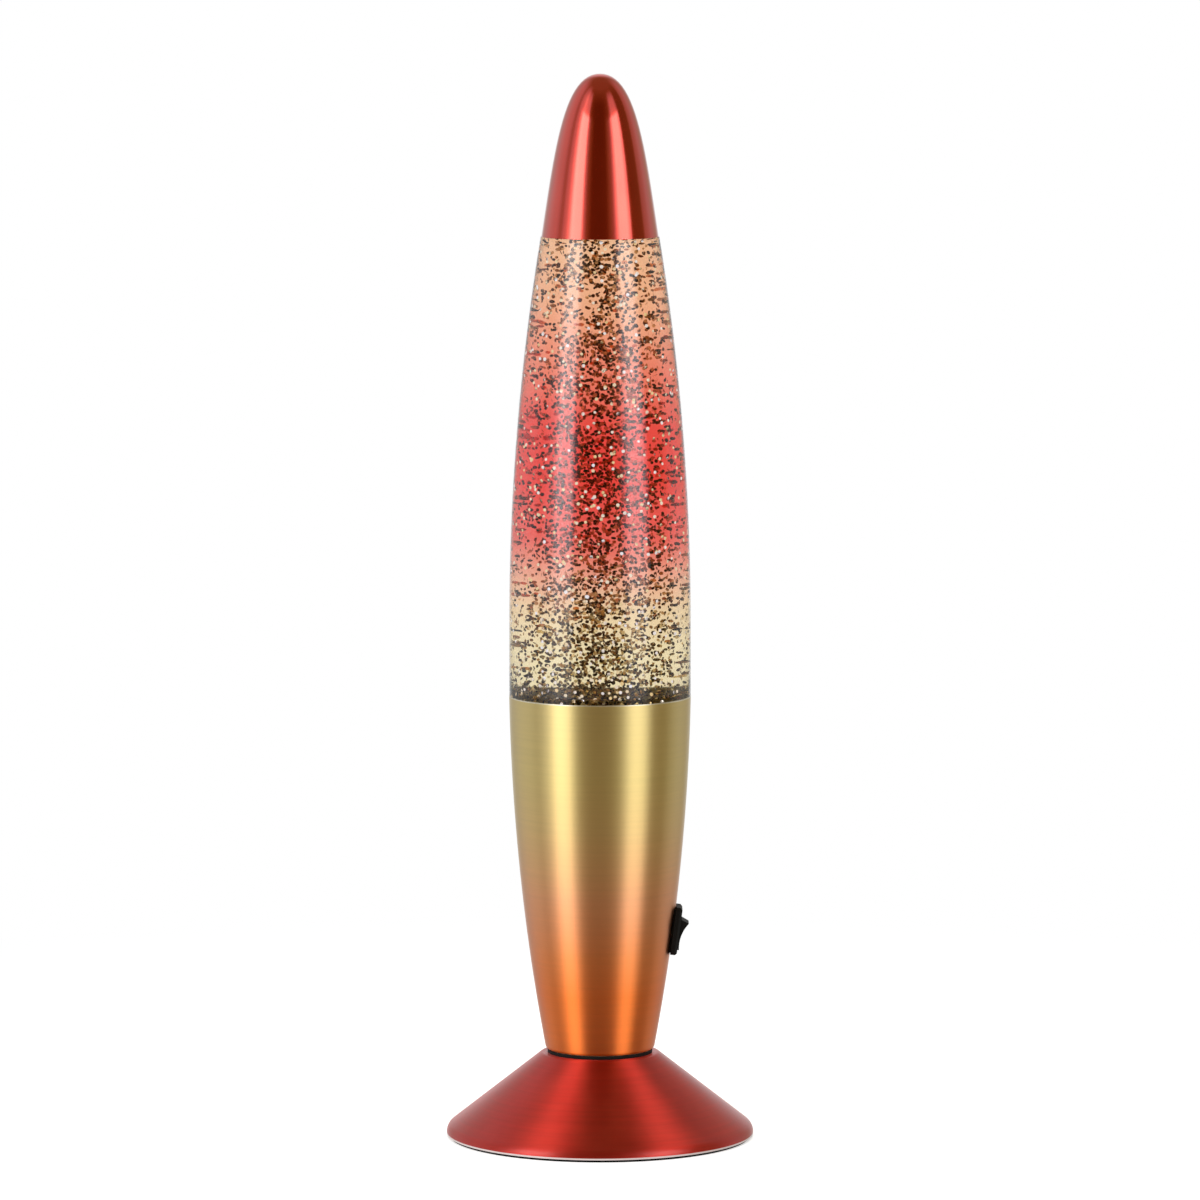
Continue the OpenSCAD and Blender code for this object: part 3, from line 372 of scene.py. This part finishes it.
def rounded(before, corner, after, radius, steps=10):
    """Points of an arc that rounds a corner of a profile."""
    before, corner, after = Vector(before), Vector(corner), Vector(after)
    back, ahead = (before - corner).normalized(), (after - corner).normalized()
    half = back.angle(ahead) / 2
    centre = corner + (back + ahead).normalized() * radius / math.sin(half)
    start, end = corner + back * radius / math.tan(half), corner + ahead * radius / math.tan(half)
    return [tuple(centre + radius * (start - centre).slerp(end - centre, i / steps).normalized())
            for i in range(steps + 1)]


def spaced(low, high, count):
    """Heights from low to high in a number of equal steps."""
    return [low + (high - low) * i / count for i in range(count + 1)]


STEP_SLOPE = 3   # the filling slopes this far under and over the step in the bottle's wall at the rim


def filling(name, inset):
    """Body of the filling, its sides inset from the glass: heel, wall, shoulder and neck."""
    low, high, neck = FILL_BOTTOM_Z + inset, FILL_TOP_Z - inset, NECK_BORE_R - inset
    heights = (spaced(FILL_BOTTOM_Z + 1.5 * HEEL_R, RIM_Z - STEP_SLOPE, 6) + [RIM_Z + STEP_SLOPE]
               + spaced(BOTTLE_UPRIGHT[1], FILL_TOP_Z - 2 * THROAT_R, 24))
    wall = [(glass_radius(z) - GLASS_T - inset, z) for z in heights]
    heel, shoulder = [glass_radius(z) - GLASS_T - inset for z in (FILL_BOTTOM_Z, FILL_TOP_Z)]
    made = turned(name, [(0, low)] + rounded((0, low), (heel, low), wall[0], HEEL_R) + wall
                  + rounded(wall[-1], (shoulder, high), (neck, high), THROAT_R)
                  + [(neck, high), (neck, WATER_TOP_Z - inset), (0, WATER_TOP_Z - inset)])
    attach(made, "bottle")
    return made


# Clear water of the filling: it only bends light. It laps into the glass by a hair, so no air lies between.
LAP = 0.08
made, tree, shader = material("clear_water", transmission_weight=1, ior=1.33, roughness=0,
                              base_color="#FFFFFF", specular_tint="#303030")
water = filling("water", -LAP)
water.data.materials.append(made)
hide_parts("liquid")

# Dye of the filling, by height: peach under the cap, red in the middle, cream at the sleeve. Just inside the
# glass a thin layer is left clear for the flakes that lie against it.
CLEAR_T = 0.5
DYE = [(116, "#FCF0BC"), (152, "#FDF0BE"), (165, "#FCE2B0"), (175, "#FCB696"), (186, "#F86A5E"),
       (205, "#F6463E"), (222, "#F8544A"), (240, "#FC9072"), (258, "#FFBE90"), (281, "#FFCC9C")]
made, tree, shader = material("dyed_water", transmission_weight=0.98, ior=1, roughness=0)
feed(shader, base_color=dye_by_height(tree, DYE, cloud=18, wander=6))
dyed = filling("dyed_filling", CLEAR_T)
dyed.data.materials.append(made)

# Polyester glitter: metallised foil cut in hexagons. Most flakes are bronze, painted dark: partly the foil's
# own colour, partly a painted reflection of the dark room, seen through the dye. Some lie flat against the
# glass and flash pale gold.
FLAKES = 8800
FLASHES = 2300
FLAKE_R = (0.44, 0.62)   # smallest and largest, to a corner
FLAKE_RISE = 0.03        # how far the pressed middle stands out
FLAKE_FACES = 12
CROWDED = 0.68           # 0.5 spreads flakes evenly over the bottle's width, more draws them to the middle
CROWD_LOW = 0.78         # chance of a flake at a place near the bottom
CROWD_FALL = 0.48        # how much of that chance is gone at the top
SWIRL = 0.6              # how much the swirls of the water add to it or take from it
SWIRL_SIZE = 8
TURNED = 0.8             # spread of the flakes' turn to the side, from looking out of the bottle, in radians
TIPPED = 0.33            # the same, up and down
LEAN = 0.35              # most that a flash leans each way
SETTLED = 1.4            # 1 spreads flashes evenly over the bottle's height, more draws them to the bottom
bronze, tree, shader = material("metallised_foil_bronze_painted_dark", metallic=0.6, roughness=0.3)
chance = node(tree, "NewGeometry").outputs["Random Per Island"]
# Dark tones: partly the foil's bronze, partly a painted reflection of the dark room
tones = [(0, "#2A120A"), (0.45, "#52301A"), (0.66, "#C09050"), (1, "#FFF0C8")]
feed(shader, base_color=node(tree, "ValToRGB", {0: chance}, tones).outputs[0])
gold, tree, shader = material("metallised_foil_pale_gold", metallic=1, roughness=0.24)
chance = node(tree, "NewGeometry").outputs["Random Per Island"]
tones = [(0, "#F3D492"), (0.45, "#FDEBC4"), (1, "#FFFFFF")]
feed(shader, base_color=node(tree, "ValToRGB", {0: chance}, tones).outputs[0])

rng = random.Random(7)
verts, faces = [], []


def add_flake(centre, facing):
    """A flake at a place, facing a direction: a hexagon with its middle pressed out on both sides."""
    size = rng.uniform(*FLAKE_R)
    turn = facing.to_track_quat("Z", "Y")
    spin = rng.uniform(0, math.pi / 3)
    corners = [Vector((size * math.cos(spin + i * math.pi / 3), size * math.sin(spin + i * math.pi / 3), 0))
               for i in range(6)] + [Vector((0, 0, -FLAKE_RISE)), Vector((0, 0, FLAKE_RISE))]
    first = len(verts)
    verts.extend((centre + turn @ corner) * MM for corner in corners)
    for i in range(6):
        a, b = first + i, first + (i + 1) % 6
        faces.extend([(b, a, first + 6), (a, b, first + 7)])


def direction(angle, lift):
    """Unit vector at an angle round the axis, lifted from the level."""
    return Vector((math.cos(angle) * math.cos(lift), math.sin(angle) * math.cos(lift), math.sin(lift)))


low, high = FILL_BOTTOM_Z + HEEL_R, FILL_TOP_Z - CLEAR_T - FLAKE_R[1]
while len(faces) < FLAKE_FACES * FLAKES:
    z, angle = rng.uniform(low, high), rng.uniform(0, 2 * math.pi)
    reach = inside_radius(z) - CLEAR_T - FLAKE_R[1]
    centre = direction(angle, 0) * reach * rng.random() ** CROWDED
    centre.z = z
    crowd = CROWD_LOW - CROWD_FALL * (z - low) / (high - low)
    if rng.random() < crowd + SWIRL * noise.noise(centre / SWIRL_SIZE):
        add_flake(centre, direction(angle + rng.gauss(0, TURNED), rng.gauss(0, TIPPED)))
for i in range(FLASHES):
    z, angle = low + (high - low) * rng.random() ** SETTLED, rng.uniform(0, 2 * math.pi)
    centre = direction(angle, 0) * (inside_radius(z) - CLEAR_T / 2)
    centre.z = z
    add_flake(centre, direction(angle + rng.uniform(-LEAN, LEAN), rng.uniform(-LEAN, LEAN)))
foil = bpy.data.meshes.new("flakes")
foil.from_pydata(verts, [], faces)
foil.materials.append(bronze)
foil.materials.append(gold)
for face in foil.polygons[FLAKE_FACES * FLAKES:]:
    face.material_index = 1
flakes = bpy.data.objects.new("flakes", foil)
bpy.context.collection.objects.link(flakes)
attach(flakes, "bottle")
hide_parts("glitter")

# ABS, moulded black with a fine spark-eroded grain of 0.25 mm: the switch is nearly matt.
made, tree, shader = material("black_abs", specular_ior_level=0.2)
place = node(tree, "TexCoord").outputs["Object"]
cloud = node(tree, "TexNoise", {"Vector": place, "Scale": 1 / (4 * MM), "Detail": 3}).outputs["Fac"]
tone = node(tree, "ValToRGB", {0: cloud}, [(0.3, "#060606"), (0.7, "#0D0D0E")]).outputs[0]
pores = node(tree, "TexNoise", {"Vector": place, "Scale": 1 / (0.25 * MM), "Detail": 3}).outputs["Fac"]
bump = node(tree, "Bump", {"Height": pores, "Strength": 0.15, "Distance": 0.02 * MM}).outputs[0]
feed(shader, base_color=tone, normal=bump,
     roughness=node(tree, "MapRange", {0: pores, 3: 0.52, 4: 0.7}).outputs[0])
dress(made, "switch_housing", "switch_rocker")

# Phenolic, pressed black: dull, with faint flow marks of 3 mm and the 0.6 mm specks of its filler.
made, tree, shader = material("black_phenolic", specular_ior_level=0.4)
place = node(tree, "TexCoord").outputs["Object"]
tall = node(tree, "Mapping", {"Vector": place, "Scale": (1, 1, 0.4)}).outputs["Vector"]
flow = node(tree, "TexNoise", {"Vector": tall, "Scale": 1 / (3 * MM), "Detail": 3,
                               "Distortion": 1.5}).outputs["Fac"]
tone = node(tree, "ValToRGB", {0: flow}, [(0.3, "#141312"), (0.6, "#1E1C1A"), (0.8, "#262320")]).outputs[0]
specks = node(tree, "TexNoise", {"Vector": place, "Scale": 1 / (0.6 * MM), "Detail": 3}).outputs["Fac"]
feed(shader, base_color=tone, roughness=node(tree, "MapRange", {0: specks, 3: 0.38, 4: 0.6}).outputs[0])
dress(made, "base_plate", "lampholder_body")

# EPDM rubber, moulded: nearly black, matt, with a bloom of grey on it in patches of 1.2 mm.
made, tree, shader = material("epdm_rubber", specular_ior_level=0.25)
place = node(tree, "TexCoord").outputs["Object"]
bloom = node(tree, "TexNoise", {"Vector": place, "Scale": 1 / (1.2 * MM), "Detail": 3}).outputs["Fac"]
tone = node(tree, "ValToRGB", {0: bloom}, [(0.35, "#0A0A0A"), (0.8, "#161616")]).outputs[0]
feed(shader, base_color=tone, roughness=node(tree, "MapRange", {0: bloom, 3: 0.6, 4: 0.8}).outputs[0])
dress(made, "cord_grommet", "collar_gasket")

# EVA foam, cut from sheet: black, with the open cells of the cut face, drawn at 0.5 mm.
made, tree, shader = material("eva_foam", specular_ior_level=0.15, roughness=0.9)
place = node(tree, "TexCoord").outputs["Object"]
cells = node(tree, "TexVoronoi", {"Vector": place, "Scale": 1 / (0.5 * MM)}).outputs["Distance"]
tone = node(tree, "ValToRGB", {0: cells}, [(0.1, "#040404"), (0.6, "#121213")]).outputs[0]
bump = node(tree, "Bump", {"Height": cells, "Strength": 0.6, "Distance": 0.15 * MM}).outputs[0]
feed(shader, base_color=tone, normal=bump)
dress(made, "foot_pad")

# Zinc-plated steel: bright grey with the bluish cloudiness of the plating, 2.5 mm across.
made, tree, shader = material("zinc_plated_steel", metallic=1)
place = node(tree, "TexCoord").outputs["Object"]
cloud = node(tree, "TexNoise", {"Vector": place, "Scale": 1 / (2.5 * MM), "Detail": 3}).outputs["Fac"]
tone = node(tree, "ValToRGB", {0: cloud}, [(0.3, "#B4B8BE"), (0.7, "#D2D4D6")]).outputs[0]
feed(shader, base_color=tone, roughness=node(tree, "MapRange", {0: cloud, 3: 0.22, 4: 0.4}).outputs[0])
dress(made, "tube_nuts", "tube_washers", "plunger_spring")

# The same steel with a rolled screw thread.
WAVE = math.pi / 10   # length of one wave of a wave texture whose scale is 1
THREAD_PITCH = 1
made, tree, shader = material("zinc_plated_thread", metallic=1, roughness=0.3)
place = node(tree, "TexCoord").outputs["Object"]
cloud = node(tree, "TexNoise", {"Vector": place, "Scale": 1 / (2.5 * MM), "Detail": 3}).outputs["Fac"]
tone = node(tree, "ValToRGB", {0: cloud}, [(0.3, "#B0B4BA"), (0.7, "#CED0D2")]).outputs[0]
turns = node(tree, "TexWave", {"Vector": place, "Scale": WAVE / (THREAD_PITCH * MM)}, bands_direction="Z")
bump = node(tree, "Bump", {"Height": turns.outputs["Fac"], "Distance": 0.5 * MM}).outputs[0]
feed(shader, base_color=tone, normal=bump)
dress(made, "threaded_tube")

# Brass, stamped from strip: warm yellow, lightly tarnished in patches of 2 mm.
made, tree, shader = material("stamped_brass", metallic=1)
place = node(tree, "TexCoord").outputs["Object"]
tarnish = node(tree, "TexNoise", {"Vector": place, "Scale": 1 / (2 * MM), "Detail": 3}).outputs["Fac"]
tone = node(tree, "ValToRGB", {0: tarnish}, [(0.3, "#B8924A"), (0.65, "#DDBA70")]).outputs[0]
feed(shader, base_color=tone, roughness=node(tree, "MapRange", {0: tarnish, 3: 0.4, 4: 0.24}).outputs[0])
dress(made, "lampholder_shell", "lampholder_contact", "lampholder_terminals", "switch_terminals",
      "contact_blade")

# Polypropylene, moulded white: milky, light goes a little way in, and its skin waves over 1.5 mm.
made, tree, shader = material("white_polypropylene", roughness=0.42, subsurface_weight=0.25,
                              subsurface_scale=1 * MM)
place = node(tree, "TexCoord").outputs["Object"]
skin = node(tree, "TexNoise", {"Vector": place, "Scale": 1 / (1.5 * MM), "Detail": 3}).outputs["Fac"]
tone = node(tree, "ValToRGB", {0: skin}, [(0.3, "#DADAD5"), (0.7, "#E6E6E2")]).outputs[0]
bump = node(tree, "Bump", {"Height": skin, "Strength": 0.1, "Distance": 0.03 * MM}).outputs[0]
feed(shader, base_color=tone, normal=bump)
dress(made, "closure", "closure_liner", "rocker_plunger")

# Silicone rubber over braided glass yarn: off-white lead with the braid showing through, at 0.8 mm.
made, tree, shader = material("silicone_braid", roughness=0.6)
place = node(tree, "TexCoord").outputs["Object"]
braid = node(tree, "TexWave", {"Vector": place, "Scale": WAVE / (0.8 * MM), "Distortion": 0.6},
             bands_direction="DIAGONAL").outputs["Fac"]
tone = node(tree, "ValToRGB", {0: braid}, [(0.2, "#C9C6BE"), (0.8, "#E4E2DB")]).outputs[0]
bump = node(tree, "Bump", {"Height": braid, "Strength": 0.4, "Distance": 0.1 * MM}).outputs[0]
feed(shader, base_color=tone, normal=bump)
dress(made, "switch_lead")

# Reflector bulb: soda glass, silvered inside up to its shoulder, with a pearl front, frosted at 0.4 mm.
SILVER_TOP = (96, 98)   # heights between which the silver ends
made, tree, shader = material("silvered_soda_glass", coat_weight=1, coat_roughness=0.03)
place = node(tree, "TexCoord").outputs["Object"]
up = node(tree, "SeparateXYZ", {0: place}).outputs["Z"]
front = node(tree, "MapRange", {0: up, 1: SILVER_TOP[0] * MM, 2: SILVER_TOP[1] * MM}).outputs[0]
tone = node(tree, "ValToRGB", {0: front}, [(0, "#D6D8DA"), (1, "#EFEEEA")]).outputs[0]
frost = node(tree, "TexNoise", {"Vector": place, "Scale": 1 / (0.4 * MM), "Detail": 3}).outputs["Fac"]
frost = node(tree, "MapRange", {0: frost, 3: 0.3, 4: 0.5}).outputs[0]
dull = node(tree, "Math", {0: front, 1: frost, 2: 0.12}, operation="MULTIPLY_ADD").outputs[0]
feed(shader, base_color=tone, roughness=dull,
     metallic=node(tree, "MapRange", {0: front, 3: 1, 4: 0}).outputs[0])
dress(made, "bulb_envelope")

# Soda glass of the bulb's stem, drawn clear, with the seeds and cords of the pinch, 1.5 mm across.
made, tree, shader = material("soda_glass_stem", transmission_weight=1, ior=1.52, roughness=0.03,
                              base_color="#EEF6F2")
place = node(tree, "TexCoord").outputs["Object"]
tall = node(tree, "Mapping", {"Vector": place, "Scale": (1, 1, 0.3)}).outputs["Vector"]
cords = node(tree, "TexNoise", {"Vector": tall, "Scale": 1 / (1.5 * MM), "Detail": 3}).outputs["Fac"]
feed(shader, normal=node(tree, "Bump", {"Height": cords, "Strength": 0.3, "Distance": 0.1 * MM}).outputs[0])
dress(made, "bulb_stem")

# Aluminium of the bulb's cap, rolled into a thread: pale grey, clouded over 2 mm.
CAP_PITCH = 2.8
made, tree, shader = material("rolled_aluminium_cap", metallic=1, roughness=0.3)
place = node(tree, "TexCoord").outputs["Object"]
cloud = node(tree, "TexNoise", {"Vector": place, "Scale": 1 / (2 * MM), "Detail": 3}).outputs["Fac"]
tone = node(tree, "ValToRGB", {0: cloud}, [(0.3, "#C4C4C6"), (0.7, "#DCDCDE")]).outputs[0]
turns = node(tree, "TexWave", {"Vector": place, "Scale": WAVE / (CAP_PITCH * MM)}, bands_direction="Z")
bump = node(tree, "Bump", {"Height": turns.outputs["Fac"], "Distance": 1 * MM}).outputs[0]
feed(shader, base_color=tone, normal=bump)
dress(made, "bulb_cap")

# Tin solder of the bulb's contact, and its drawn wire: soft grey, uneven over 0.8 mm.
made, tree, shader = material("tinned_metal", metallic=1)
place = node(tree, "TexCoord").outputs["Object"]
cloud = node(tree, "TexNoise", {"Vector": place, "Scale": 1 / (0.8 * MM), "Detail": 3}).outputs["Fac"]
tone = node(tree, "ValToRGB", {0: cloud}, [(0.3, "#9C9CA0"), (0.7, "#C2C2C4")]).outputs[0]
feed(shader, base_color=tone, roughness=node(tree, "MapRange", {0: cloud, 3: 0.3, 4: 0.5}).outputs[0])
dress(made, "bulb_contact", "bulb_filament")

# Black glass of the bulb's insulator, fused in place: glossy, with a skin that waves over 1.5 mm.
made, tree, shader = material("fused_black_glass", roughness=0.12)
place = node(tree, "TexCoord").outputs["Object"]
waves = node(tree, "TexNoise", {"Vector": place, "Scale": 1 / (1.5 * MM), "Detail": 3}).outputs["Fac"]
tone = node(tree, "ValToRGB", {0: waves}, [(0.3, "#120F12"), (0.7, "#1E191E")]).outputs[0]
bump = node(tree, "Bump", {"Height": waves, "Strength": 0.4, "Distance": 0.2 * MM}).outputs[0]
feed(shader, base_color=tone, normal=bump)
dress(made, "bulb_insulator")
